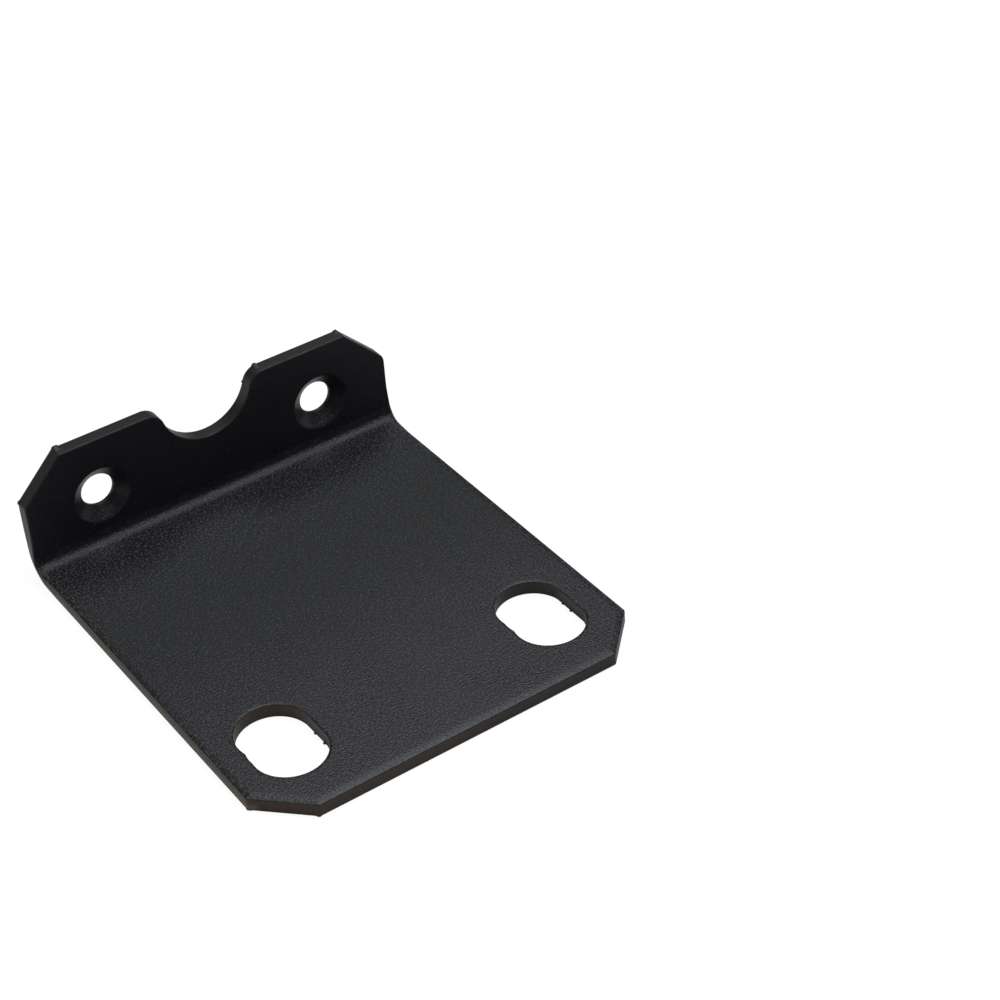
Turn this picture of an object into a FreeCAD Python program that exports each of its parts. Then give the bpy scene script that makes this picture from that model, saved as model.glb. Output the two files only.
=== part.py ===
"""Rack mount ear bracket: one punched and folded piece of sheet steel.

The long flange lies flat and carries two slots for the rack's screws. The standing
flange rises at the back with two countersunk holes for the equipment's own screws
and a round notch in its top edge. Lengths are in millimetres and angles in degrees.

While it is drawn, the bracket's Y = 0 is the back of the standing flange and its
Z = 0 the underside of the long flange. The body's placement then brings the origin
under the middle of the bracket: X runs along the fold and Y towards the back.
"""
import FreeCAD, Part
import math
import os

import Sketcher

NODE = "ear_bracket"

# Driving dimensions: name, value, what it measures
DIMENSIONS = (
    ("width", 44.0, "bracket, along the fold"),
    ("reach", 50.0, "long flange, back of the standing flange to the front edge"),
    ("rise", 14.0, "standing flange, underside of the bracket to the top edge"),
    ("gauge", 1.6, "thickness of the sheet"),
    ("fold_radius", 1.5, "inside radius of the fold"),
    ("front_cut", 4.75, "each leg of the 45 degree cuts at the front corners"),
    ("top_cut", 4.65, "each leg of the 45 degree cuts at the top corners"),
    ("slot_spacing", 30.4, "between the middles of the two slots"),
    ("slot_inset", 9.6, "front edge to the middle of a slot"),
    ("punch_diameter", 7.7, "round punch that nibbles a slot, so the slot's width"),
    ("punch_travel", 3.3, "between the first and the last hit of a slot"),
    ("middle_hit_shift", 0.4, "middle hit off the slot's middle, forwards on the left"),
    ("screw_spacing", 27.0, "between the two countersunk holes"),
    ("screw_height", 7.3, "underside of the bracket to the screw axes"),
    ("screw_diameter", 3.75, "clearance hole for the equipment's screw"),
    ("sink_diameter", 6.6, "mouth of the countersink"),
    ("sink_angle", 100.0, "whole angle of the countersink"),
    ("notch_radius", 5.3, "round bottom of the notch"),
    ("notch_depth", 5.15, "top edge to the bottom of the notch"),
    ("shoulder_radius", 2.0, "rounding from the top edge down into the notch"),
    ("edge_roll", 0.3, "soft outer edge on the side that the punch entered"),
)

# Normal of every sketch, in its own coordinates
SKETCH_NORMAL = FreeCAD.Vector(0, 0, 1)

# How closely lengths and directions agree when edges and faces are picked
TOLERANCE = 1e-4


def make_sheet(document):
    """Write the driving dimensions into a spreadsheet.

    Args:
        document: The document that receives the sheet.

    Returns:
        The spreadsheet, with one alias for each dimension.
    """
    sheet = document.addObject("Spreadsheet::Sheet", "sizes")
    for row, (name, value, meaning) in enumerate(DIMENSIONS, start=1):
        sheet.set(f"A{row}", meaning)
        sheet.set(f"B{row}", str(value))
        sheet.setAlias(f"B{row}", name)
    document.recompute()
    return sheet


class SheetMetalBody:
    """A body whose features take their sizes from the spreadsheet."""

    def __init__(self, document, sheet, label):
        self.document = document
        self.sheet = sheet
        self.body = document.addObject("PartDesign::Body", label)
        self.body.Label = label

    def size(self, name):
        """Return the present value of one driving dimension."""
        return float(self.sheet.get(name))

    def plane(self, role):
        """Return one of the body's own origin planes by its role."""
        for feature in self.body.Origin.OriginFeatures:
            if feature.Role == role:
                return feature
        raise ValueError(f"the body has no {role}")

    def sketch(self, name, role, offset=None):
        """Add a sketch on an origin plane.

        Args:
            name: Name of the sketch.
            role: Role of the origin plane that carries it.
            offset: Expression for its distance along the plane's normal, if any.

        Returns:
            The empty sketch.
        """
        sketch = self.body.newObject("Sketcher::SketchObject", name)
        sketch.AttachmentSupport = [(self.plane(role), "")]
        sketch.MapMode = "FlatFace"
        if offset:
            sketch.setExpression("AttachmentOffset.Base.z", offset)
        return sketch

    def feature(self, kind, name, **settings):
        """Add a feature and give it plain settings.

        Args:
            kind: Feature type, such as Pad or Pocket.
            name: Name of the feature.
            settings: Property values.

        Returns:
            The feature.
        """
        feature = self.body.newObject(f"PartDesign::{kind}", name)
        for key, value in settings.items():
            setattr(feature, key, value)
        return feature

    def cut(self, kind, name, bound=(), **settings):
        """Add a feature that takes material away and see that it did.

        Args:
            kind: Feature type, such as Pocket or Hole.
            name: Name of the feature.
            bound: Pairs of a property and the expression that drives it.
            settings: Plain property values.

        Returns:
            The feature.
        """
        before = self.body.Shape.Volume
        feature = self.feature(kind, name, **settings)
        for key, expression in bound:
            feature.setExpression(key, expression)
        self.document.recompute()
        if not self.body.Shape.Volume < before:
            raise RuntimeError(f"{name} takes no material away")
        return feature


def drive(sketch, expression, *constraint):
    """Add a dimension to a sketch and bind it to an expression.

    Args:
        sketch: Sketch that holds the geometry.
        expression: Expression of the spreadsheet's aliases.
        constraint: Arguments of the constraint, its first value included.
    """
    index = sketch.addConstraint(Sketcher.Constraint(*constraint))
    sketch.setExpression(f"Constraints[{index}]", expression)


def line(start, end):
    """Return a straight segment between two points of a sketch."""
    return Part.LineSegment(FreeCAD.Vector(*start, 0), FreeCAD.Vector(*end, 0))


def arc(centre, radius, start, end):
    """Return an arc of a sketch, anticlockwise between two angles in degrees."""
    circle = Part.Circle(FreeCAD.Vector(*centre, 0), SKETCH_NORMAL, radius)
    return Part.ArcOfCircle(circle, math.radians(start), math.radians(end))


def add_folded_sheet(metal):
    """Pad the L-shaped section along the fold.

    Both flanges keep the sheet's thickness round the fold, because the two arcs share
    their centre.
    """
    reach, rise, gauge = (metal.size(name) for name in ("reach", "rise", "gauge"))
    inner = metal.size("fold_radius")
    outer = inner + gauge
    centre = (-outer, outer)
    sketch = metal.sketch("section", "YZ_Plane")
    back, bend_out, under, front, top, bend_in, face, crest = sketch.addGeometry([
        line((0, rise), (0, outer)),
        arc(centre, outer, -90, 0),
        line((-outer, 0), (-reach, 0)),
        line((-reach, 0), (-reach, gauge)),
        line((-reach, gauge), (-outer, gauge)),
        arc(centre, inner, -90, 0),
        line((-gauge, outer), (-gauge, rise)),
        line((-gauge, rise), (0, rise)),
    ])
    for rule in (
        ("Tangent", back, 2, bend_out, 2),
        ("Tangent", under, 1, bend_out, 1),
        ("Tangent", top, 2, bend_in, 1),
        ("Tangent", face, 1, bend_in, 2),
        ("Coincident", under, 2, front, 1),
        ("Coincident", front, 2, top, 1),
        ("Coincident", face, 2, crest, 1),
        ("Coincident", crest, 2, back, 1),
        ("Coincident", bend_in, 3, bend_out, 3),
        ("PointOnObject", back, 1, -2),
        ("PointOnObject", under, 2, -1),
        ("Vertical", back),
        ("Horizontal", under),
        ("Vertical", front),
        ("Vertical", face),
        ("Horizontal", top),
        ("Horizontal", crest),
    ):
        sketch.addConstraint(Sketcher.Constraint(*rule))
    drive(sketch, "sizes.fold_radius", "Radius", bend_in, inner)
    drive(sketch, "sizes.gauge", "DistanceY", front, 1, front, 2, gauge)
    drive(sketch, "sizes.reach", "DistanceX", front, 1, -1, 1, reach)
    drive(sketch, "sizes.rise", "DistanceY", -1, 1, back, 1, rise)
    pad = metal.feature("Pad", "folded_sheet", Profile=sketch, Type="Length",
                        SideType="Symmetric")
    pad.setExpression("Length", "sizes.width")
    metal.document.recompute()


def corner_edges(shape, run, end, value):
    """Name the edges that run through the sheet at the free end of a flange.

    Args:
        shape: Shape that the edges belong to.
        run: Axis that the edges run along: x, y or z.
        end: Axis on which the free end lies.
        value: Coordinate of the free end on that axis.

    Returns:
        Names of the edges, such as Edge4.
    """
    names = []
    for index, edge in enumerate(shape.Edges, start=1):
        start = edge.firstVertex().Point
        direction = edge.tangentAt(edge.FirstParameter)
        along = abs(getattr(direction, run)) > 1 - TOLERANCE
        if along and abs(getattr(start, end) - value) < TOLERANCE:
            names.append(f"Edge{index}")
    return names


def cut_corners(metal):
    """Cut the two front corners and the two top corners at 45 degrees."""
    for name, run, end, value, size in (
        ("front_corner_cuts", "z", "y", -metal.size("reach"), "front_cut"),
        ("top_corner_cuts", "y", "z", metal.size("rise"), "top_cut"),
    ):
        base = metal.body.Tip
        edges = corner_edges(base.Shape, run, end, value)
        metal.cut("Chamfer", name, bound=[("Size", f"sizes.{size}")], Base=(base, edges))


def cut_notch(metal):
    """Punch the round notch and its two rounded shoulders into the top edge.

    The shoulders are tangent to the top edge and to the notch's own circle.
    """
    radius, depth, rise = (metal.size(name) for name in ("notch_radius", "notch_depth", "rise"))
    shoulder = metal.size("shoulder_radius")
    middle = rise - depth + radius
    drop = middle - (rise - shoulder)
    reach = math.sqrt((radius + shoulder) ** 2 - drop ** 2)
    angle = math.degrees(math.atan2(drop, reach))
    sketch = metal.sketch("notch_outline", "XZ_Plane")
    bowl, left, right, lid = sketch.addGeometry([
        arc((0, middle), radius, 180 + angle, 360 - angle),
        arc((-reach, rise - shoulder), shoulder, angle, 90),
        arc((reach, rise - shoulder), shoulder, 90, 180 - angle),
        line((-reach, rise), (reach, rise)),
    ])
    for rule in (
        ("Tangent", bowl, 1, left, 1),
        ("Tangent", bowl, 2, right, 2),
        ("Tangent", left, 2, lid, 1),
        ("Tangent", right, 1, lid, 2),
        ("Horizontal", lid),
        ("Equal", left, right),
        ("PointOnObject", bowl, 3, -2),
    ):
        sketch.addConstraint(Sketcher.Constraint(*rule))
    drive(sketch, "sizes.notch_radius", "Radius", bowl, radius)
    drive(sketch, "sizes.shoulder_radius", "Radius", left, shoulder)
    drive(sketch, "sizes.rise", "DistanceY", -1, 1, lid, 1, rise)
    drive(sketch, "sizes.rise - sizes.notch_depth + sizes.notch_radius",
          "DistanceY", -1, 1, bowl, 3, middle)
    metal.cut("Pocket", "notch", Profile=sketch, Type="ThroughAll", Reversed=True)


def slot_hits(metal, name, left_shift, right_shift):
    """Draw one hit of the round punch in each slot.

    Args:
        metal: Body that carries the sketch.
        name: Name of the sketch.
        left_shift: Expression for the left hit's way forwards from the slot's middle.
        right_shift: The same for the right hit.

    Returns:
        The sketch.
    """
    sketch = metal.sketch(name, "XY_Plane")
    radius = metal.size("punch_diameter") / 2
    across = metal.size("slot_spacing") / 2
    along = metal.size("reach") - metal.size("slot_inset")
    left, right = sketch.addGeometry([
        Part.Circle(FreeCAD.Vector(side * across, -along, 0), SKETCH_NORMAL, radius) for side in (-1, 1)
    ])
    sketch.addConstraint(Sketcher.Constraint("Equal", left, right))
    drive(sketch, "sizes.punch_diameter", "Diameter", left, 2 * radius)
    for hit, side, shift in ((left, -1, left_shift), (right, 1, right_shift)):
        ends = (hit, 3, -1, 1) if side < 0 else (-1, 1, hit, 3)
        drive(sketch, "sizes.slot_spacing / 2", "DistanceX", *ends, across)
        drive(sketch, f"sizes.reach - sizes.slot_inset + {shift}",
              "DistanceY", hit, 3, -1, 1, along)
    return sketch


def cut_slots(metal):
    """Nibble the two slots with three overlapping hits of a round punch each.

    The small cusps that the hits leave on the slots' long sides are part of the form.
    The middle hit lies forwards in the left slot and backwards in the right one.
    """
    half = "sizes.punch_travel / 2"
    for name, left_shift, right_shift in (
        ("front_hits", half, half),
        ("back_hits", f"(-{half})", f"(-{half})"),
        ("middle_hits", "sizes.middle_hit_shift", "(-sizes.middle_hit_shift)"),
    ):
        sketch = slot_hits(metal, f"{name}_outline", left_shift, right_shift)
        metal.cut("Pocket", name, Profile=sketch, Type="ThroughAll", Reversed=True)


def cut_screw_holes(metal):
    """Drill the two screw holes and countersink them on the inside of the fold."""
    sketch = metal.sketch("screw_axes", "XZ_Plane", offset="sizes.gauge")
    across, height, radius = (
        metal.size("screw_spacing") / 2, metal.size("screw_height"), metal.size("screw_diameter") / 2)
    left, right = sketch.addGeometry([
        Part.Circle(FreeCAD.Vector(side * across, height, 0), SKETCH_NORMAL, radius) for side in (-1, 1)
    ])
    sketch.addConstraint(Sketcher.Constraint("Equal", left, right))
    drive(sketch, "sizes.screw_diameter", "Diameter", left, 2 * radius)
    drive(sketch, "sizes.screw_spacing / 2", "DistanceX", left, 3, -1, 1, across)
    drive(sketch, "sizes.screw_spacing / 2", "DistanceX", -1, 1, right, 3, across)
    for hole in (left, right):
        drive(sketch, "sizes.screw_height", "DistanceY", -1, 1, hole, 3, height)
    metal.document.recompute()
    metal.cut(
        "Hole", "screw_holes",
        bound=[
            ("Diameter", "sizes.screw_diameter"),
            ("HoleCutDiameter", "sizes.sink_diameter"),
            ("HoleCutCountersinkAngle", "sizes.sink_angle"),
        ],
        Profile=sketch, ThreadType="None", DepthType="ThroughAll", HoleCutType="Countersink",
        HoleCutCustomValues=True,
    )


def punched_side(metal, face):
    """Tell whether a face lies on the side of the sheet that the punch entered.

    That side is the top of the long flange, the inside of the fold and the inner face
    of the standing flange.
    """
    surface, gauge = face.Surface, metal.size("gauge")
    if isinstance(surface, Part.Cylinder):
        return (abs(surface.Axis.x) > 1 - TOLERANCE
                and abs(surface.Radius - metal.size("fold_radius")) < TOLERANCE)
    if not isinstance(surface, Part.Plane):
        return False
    centre, normal = face.CenterOfMass, face.normalAt(0, 0)
    on_top = normal.z > 1 - TOLERANCE and abs(centre.z - gauge) < TOLERANCE
    on_inner = normal.y < TOLERANCE - 1 and abs(centre.y + gauge) < TOLERANCE
    return on_top or on_inner


def rim_edges(metal, shape):
    """Name the edges round the punched side of the sheet.

    They are its outline and the rims of its slots. An edge between two of its faces
    isn't one of them, and neither is the mouth of a countersink.
    """
    faces = [face for face in shape.Faces if punched_side(metal, face)]
    cones = [face for face in shape.Faces if isinstance(face.Surface, Part.Cone)]

    def uses(edge, group):
        return sum(any(edge.isSame(other) for other in face.Edges) for face in group)

    return [
        f"Edge{index}" for index, edge in enumerate(shape.Edges, start=1)
        if uses(edge, faces) == 1 and not uses(edge, cones)
    ]


def soften_edges(metal):
    """Round the outline and the slots on the side that the punch entered.

    The outline is one closed chain: the front edge, the cut corners, the sides, the
    ends of the fold and the top edge with its notch.
    """
    base = metal.body.Tip
    edges = rim_edges(metal, base.Shape)
    metal.cut("Fillet", "soft_edges", bound=[("Radius", "sizes.edge_roll")], Base=(base, edges))


def check(document, bodies):
    """Raise an error if any object has failed or any body is not one valid solid.

    Args:
        document: The document to look through.
        bodies: The bodies that are written to files.
    """
    for item in document.Objects:
        if {"Invalid", "Error"} & set(item.State):
            raise RuntimeError(f"{item.Label} has failed")
        if item.isDerivedFrom("Sketcher::SketchObject") and not item.FullyConstrained:
            raise RuntimeError(f"{item.Label} is not fully constrained")
    for body in bodies:
        shape = body.Shape
        if shape.isNull() or not shape.isValid() or len(shape.Solids) != 1:
            raise RuntimeError(f"{body.Label} is not one valid solid")


def build():
    """Build the bracket and return its document and body."""
    document = FreeCAD.newDocument("rack_ear")
    sheet = make_sheet(document)
    metal = SheetMetalBody(document, sheet, NODE)
    add_folded_sheet(metal)
    cut_corners(metal)
    cut_notch(metal)
    cut_slots(metal)
    cut_screw_holes(metal)
    soften_edges(metal)
    metal.body.setExpression("Placement.Base.y", "sizes.reach / 2")
    document.recompute()
    return document, metal.body


def main():
    """Build the bracket, check it and write its file."""
    document, body = build()
    check(document, [body])
    os.makedirs("parts", exist_ok=True)
    body.Shape.exportStep(f"parts/{body.Label}.step")
    box = body.Shape.BoundBox
    print(f"{body.Label}: {box.XLength:.3f} x {box.YLength:.3f} x {box.ZLength:.3f} mm, "
          f"volume {body.Shape.Volume:.2f} mm3, {len(body.Shape.Faces)} faces")


main()
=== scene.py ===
"""Looks of a rack mount ear bracket: one punched and folded piece of coated sheet steel.

The sheet is made flat first, as it leaves the punch, with its rolled upper edges, its
sheared walls and the burrs on their exit side. A node tree then folds it and presses
the ends of the fold out of square. The fields of the classes are in millimetres and
degrees, and the objects in metres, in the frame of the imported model.
"""

from __future__ import annotations

import logging
import math
from dataclasses import dataclass, field
from enum import Enum
from typing import Any, Callable, Mapping, Sequence

import bpy
import numpy as np
from mathutils import Matrix, Vector, geometry

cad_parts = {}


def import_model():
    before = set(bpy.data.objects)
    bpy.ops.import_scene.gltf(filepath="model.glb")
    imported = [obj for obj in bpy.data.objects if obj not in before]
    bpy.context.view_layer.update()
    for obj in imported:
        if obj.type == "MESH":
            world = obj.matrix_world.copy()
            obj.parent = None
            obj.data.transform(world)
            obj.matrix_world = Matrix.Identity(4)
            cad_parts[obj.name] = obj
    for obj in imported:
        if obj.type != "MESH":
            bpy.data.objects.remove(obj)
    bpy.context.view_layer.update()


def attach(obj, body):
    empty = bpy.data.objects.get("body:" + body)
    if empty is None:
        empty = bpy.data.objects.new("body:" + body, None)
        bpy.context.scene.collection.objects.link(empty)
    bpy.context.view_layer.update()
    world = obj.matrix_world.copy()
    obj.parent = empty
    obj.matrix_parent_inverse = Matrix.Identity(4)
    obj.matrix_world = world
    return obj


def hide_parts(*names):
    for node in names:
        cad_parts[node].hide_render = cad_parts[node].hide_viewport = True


log = logging.getLogger("rack_ear")

MM = 0.001
NODE = "ear_bracket"
SLOT = "coated_steel"
BODY = "root"

# Name of the value that tells the coat how far a point is sheared metal.
SHEARED = "sheared"
# Ring of every rim that lies on its wall, counted from the exit side.
WALL_RING = -5
# How faces are filled: inside their outline only, and with points as near as this as one.
INSIDE = 1
MERGE = 1e-7

WHITE = (1.0, 1.0, 1.0)

Colour = tuple[float, float, float]
Point = tuple[float, float]
Place = tuple[float, float, float]
Span = tuple[float, float]
Ring = tuple[float, float, float]


class Face(Enum):
    """The two faces of the sheet, as the punch meets them."""

    ENTRY = "entry"
    EXIT = "exit"


def math_node(operation: str, reflected: bool = False) -> Callable[..., Wire]:
    """Make a method of a wire that adds one Math node.

    Args:
        operation: The node's operation.
        reflected: True if the wire is the operation's second value.

    Returns:
        The method.
    """

    def method(wire: Wire, *others: Wire | float) -> Wire:
        """Return the node's output."""
        values = (*others, wire) if reflected else (wire, *others)
        node = wire.tree.nodes.new("ShaderNodeMath")
        node.operation = operation
        for socket, value in zip(node.inputs, values):
            join(wire.tree, socket, value)
        return Wire(wire.tree, node.outputs[0])

    return method


class Wire:
    """A socket of a node tree on which arithmetic adds Math nodes."""

    def __init__(self, tree: bpy.types.NodeTree, socket: bpy.types.NodeSocket) -> None:
        """Keep the tree and the socket."""
        self.tree = tree
        self.socket = socket

    __add__ = __radd__ = math_node("ADD")
    __sub__ = math_node("SUBTRACT")
    __rsub__ = math_node("SUBTRACT", reflected=True)
    __mul__ = __rmul__ = math_node("MULTIPLY")
    __truediv__ = math_node("DIVIDE")
    __abs__ = math_node("ABSOLUTE")
    sine = math_node("SINE")
    cosine = math_node("COSINE")
    sign = math_node("SIGN")
    at_least = math_node("MAXIMUM")
    at_most = math_node("MINIMUM")

    def share(self) -> Wire:
        """Return self held between 0 and 1."""
        return self.at_least(0.0).at_most(1.0)

    def eased(self) -> Wire:
        """Return self held between 0 and 1, with a smooth start and end."""
        held = self.share()
        return held * held * (3.0 - 2.0 * held)

    def ramp(self, start: float, end: float) -> Wire:
        """Return an eased rise of self from 0 at start to 1 at end."""
        return ((self - start) * (1.0 / (end - start))).eased()


def join(tree: bpy.types.NodeTree, socket: bpy.types.NodeSocket, value: Any) -> None:
    """Link a wire to a socket, or set the socket's own value.

    Args:
        tree: Tree that holds the socket.
        socket: Input to fill.
        value: A wire, a number, a vector, a colour of three, or a data-block.
    """
    if isinstance(value, Wire):
        tree.links.new(value.socket, socket)
    elif socket.type == "RGBA" and len(value) == 3:
        socket.default_value = (*value, 1.0)
    else:
        socket.default_value = value


class Pen:
    """Writes the nodes of one tree."""

    def __init__(self, tree: bpy.types.NodeTree) -> None:
        """Keep the tree and clear it."""
        self.tree = tree
        tree.nodes.clear()

    def add(
        self,
        kind: str,
        settings: Mapping[str, Any] | None = None,
        sockets: Mapping[str | int, Any] | None = None,
        out: str | int = 0,
    ) -> Wire | None:
        """Add a node.

        Args:
            kind: The node's type.
            settings: Its properties.
            sockets: Values or wires for its inputs, by name or place.
            out: Name or place of the output to return.

        Returns:
            That output, or None for a node that has none.
        """
        node = self.tree.nodes.new(kind)
        for name, value in (settings or {}).items():
            setattr(node, name, value)
        for name, value in (sockets or {}).items():
            join(self.tree, node.inputs[name], value)
        return Wire(self.tree, node.outputs[out]) if node.outputs else None

    def blend(self, factor: Wire | float, first: Any, second: Any) -> Wire:
        """Mix two colours.

        Args:
            factor: Share of the second one.
            first: Colour or wire at 0.
            second: Colour or wire at 1.

        Returns:
            The mixed colour.
        """
        sockets = {0: factor, 6: first, 7: second}
        return self.add("ShaderNodeMix", {"data_type": "RGBA"}, sockets, out=2)

    def noise(self, place: Wire, scale: float, detail: float, rough: float) -> Wire:
        """Add a noise pattern.

        Args:
            place: Coordinates that it follows.
            scale: Features to a metre.
            detail: Octaves.
            rough: Strength of the finer octaves.

        Returns:
            The pattern, about 0.5 on the average.
        """
        sockets = {"Vector": place, "Scale": scale, "Detail": detail, "Roughness": rough}
        return self.add("ShaderNodeTexNoise", sockets=sockets)


def new_material(name: str) -> tuple[bpy.types.Material, Pen]:
    """Return an empty material and the pen that writes its nodes."""
    material = bpy.data.materials.new(name)
    material.use_nodes = True
    return material, Pen(material.node_tree)


def put_in_scene(name: str, data: bpy.types.ID) -> bpy.types.Object:
    """Return a new object of the scene that shows a mesh, a lamp or a camera."""
    made = bpy.data.objects.new(name, data)
    bpy.context.scene.collection.objects.link(made)
    return made


@dataclass(frozen=True)
class Corner:
    """A rounded turn of the outline, kept as the arc that it runs along.

    Straight runs join one turn to the next, so an inset only changes the radii.
    """

    centre: Point
    radius: float
    start: float
    end: float
    least_radius: float = 0.05

    def points(self, inset: float, count: int) -> np.ndarray:
        """Return points along the arc.

        Args:
            inset: Distance into the sheet, which shrinks an outer turn and widens an
                inner one.
            count: Number of points, both ends among them.
        """
        centre = np.array(self.centre)
        radius = self.radius + inset
        if self.end > self.start:
            radius = max(self.radius - inset, self.least_radius)
            middle = math.radians(self.start + self.end) / 2
            half = math.radians(self.end - self.start) / 2
            shift = (radius + inset - self.radius) / math.cos(half)
            centre -= shift * np.array((math.cos(middle), math.sin(middle)))
        angles = np.radians(np.linspace(self.start, self.end, count))
        return centre + radius * np.c_[np.cos(angles), np.sin(angles)]

    def length(self) -> float:
        """Return the length of the arc."""
        return self.radius * math.radians(abs(self.end - self.start))


def turn_at(before: Point, corner: Point, after: Point, radius: float) -> Corner:
    """Round a corner of a polygon that runs anticlockwise.

    Args:
        before: Point that the outline comes from.
        corner: The sharp corner.
        after: Point that the outline goes to.
        radius: Radius of the rounding.

    Returns:
        The rounded turn.
    """
    here = np.array(corner, float)
    normals = []
    for way in (here - np.array(before), np.array(after) - here):
        way = way / np.linalg.norm(way)
        normals.append(np.array((-way[1], way[0])))
    first, second = normals
    centre = here + radius * (first + second) / (1.0 + first @ second)
    start, end = (math.degrees(math.atan2(-n[1], -n[0])) for n in normals)
    if end < start:
        end += 360.0
    return Corner(tuple(centre), radius, start, end)


@dataclass(frozen=True)
class Burr:
    """A sliver that the punch left on an edge, or with a height below 0, a nick.

    It stands out most on the exit side, and fades over its reach towards the other.
    """

    place: Point
    height: float
    width: float
    reach: float = 0.5


@dataclass(frozen=True)
class EdgeProfile:
    """Section of a punched edge, from the face that the punch entered to the exit.

    Each ring of the edge is a distance into the sheet, a height above the exit face
    and how far it is sheared metal and not face.
    """

    droop_width: float = 2.6
    droop_depth: float = 0.035
    roll_width: float = 0.95
    roll_depth: float = 0.18
    shoulder: float = 0.08
    exit_radius: float = 0.05
    lip: float = 0.06
    droop_steps: int = 5
    roll_steps: int = 9
    shoulder_steps: int = 5
    wall_steps: int = 6
    exit_steps: int = 2
    gauge: float = 1.6

    def rings(self) -> list[Ring]:
        """Return the rings as (inset, height, sheared)."""
        wide, near = self.droop_width, self.roll_width
        insets = [
            *np.linspace(wide, near, self.droop_steps, endpoint=False).tolist(),
            *np.linspace(near, self.shoulder, self.roll_steps + 1).tolist(),
        ]
        found = [(wide + self.lip, self.gauge, 0.0)]
        for inset in insets:
            found.append((inset, self.gauge - self.drop(inset)[0], 0.0))
        drop, slope = self.drop(self.shoulder)
        start = self.gauge - drop
        corner = start - slope * self.shoulder
        top = corner - self.shoulder
        for step in range(1, self.shoulder_steps + 1):
            share = step / self.shoulder_steps
            rest = 1.0 - share
            height = rest**2 * start + 2.0 * rest * share * corner + share**2 * top
            found.append((rest**2 * self.shoulder, height, share))
        for step in range(1, self.wall_steps + 1):
            share = step / self.wall_steps
            found.append((0.0, top + (self.exit_radius - top) * share, 1.0))
        for step in range(1, self.exit_steps + 1):
            angle = math.pi / 2 * step / self.exit_steps
            inset = self.exit_radius * (1.0 - math.cos(angle))
            height = self.exit_radius * (1.0 - math.sin(angle))
            found.append((inset, height, 1.0 - step / self.exit_steps))
        found.append((self.exit_radius + self.lip, 0.0, 0.0))
        return found

    def drop(self, inset: float) -> tuple[float, float]:
        """Return how far the face lies below its level at an inset, and its slope."""
        depth = slope = 0.0
        droop = self.droop_width, self.droop_depth
        roll = self.roll_width, self.roll_depth
        for width, most in (droop, roll):
            share = max(1.0 - inset / width, 0.0)
            depth += most * share**2
            slope += 2.0 * most * share / width
        return depth, slope


@dataclass(frozen=True)
class SinkProfile:
    """Section of a countersunk hole, from the face with the countersink to the exit.

    The lip of the cone is rounded through points, and its foot through one, that lie so
    many times the softness outwards and upwards. The bore is less sheared than a wall.
    """

    bore: float = 1.875
    radius: float = 3.3
    angle: float = 100.0
    softness: float = 0.05
    lip_points: tuple[Point, ...] = ((1.0, 0.0), (0.3, -0.2), (-0.7, -0.7))
    cone_shares: tuple[float, ...] = (0.12, 0.37, 0.63, 0.88)
    foot_point: Point = (0.2, 0.1)
    bore_start: float = 0.7
    exit_turn: float = 0.3
    sheared: float = 0.6
    count: int = 144

    def rings(self, edge: EdgeProfile) -> list[Ring]:
        """Return the rings as (radius, height, sheared).

        Args:
            edge: Section of the sheet's edges, which gives the gauge and the exit side.
        """
        slope = math.tan(math.radians(self.angle / 2))
        bore, soft, out_turn = self.bore, self.softness, edge.exit_radius
        depth = (self.radius - bore) / slope
        land, turned = edge.gauge - depth, self.exit_turn * out_turn
        found = [(self.radius + soft + edge.lip, edge.gauge, 0.0)]
        for out, up in self.lip_points:
            found.append((self.radius + out * soft, edge.gauge + up * soft, 0.0))
        for share in self.cone_shares:
            down = share * depth
            found.append((self.radius - down * slope, edge.gauge - down, 0.0))
        out, up = self.foot_point
        return found + [
            (bore + soft, land + soft / slope, 0.0),
            (bore + out * soft, land + up * soft, self.sheared / 2),
            (bore, land - self.bore_start * soft, self.sheared),
            (bore, land / 2, self.sheared),
            (bore, out_turn, self.sheared),
            (bore + turned, turned, self.sheared / 2),
            (bore + out_turn, 0.0, 0.0),
            (bore + out_turn + edge.lip, 0.0, 0.0),
        ]


@dataclass
class Rim:
    """The rings of one edge, and how far each of their points is sheared metal."""

    rings: np.ndarray
    sheared: np.ndarray
    hole: bool


@dataclass(frozen=True)
class NibbledSlot:
    """A rack slot, nibbled by three overlapping hits of a round punch.

    The hits leave uneven cusps on the left side. The right side is trimmed straight.
    """

    across: float
    along: float
    radius: float
    travel: float
    middle_shift: float
    trim: float = 0.0

    def hits(self) -> tuple[float, float, float]:
        """Return where along the sheet the hits have their middles."""
        half = self.travel / 2
        return (self.along - half, self.along + self.middle_shift, self.along + half)


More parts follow.
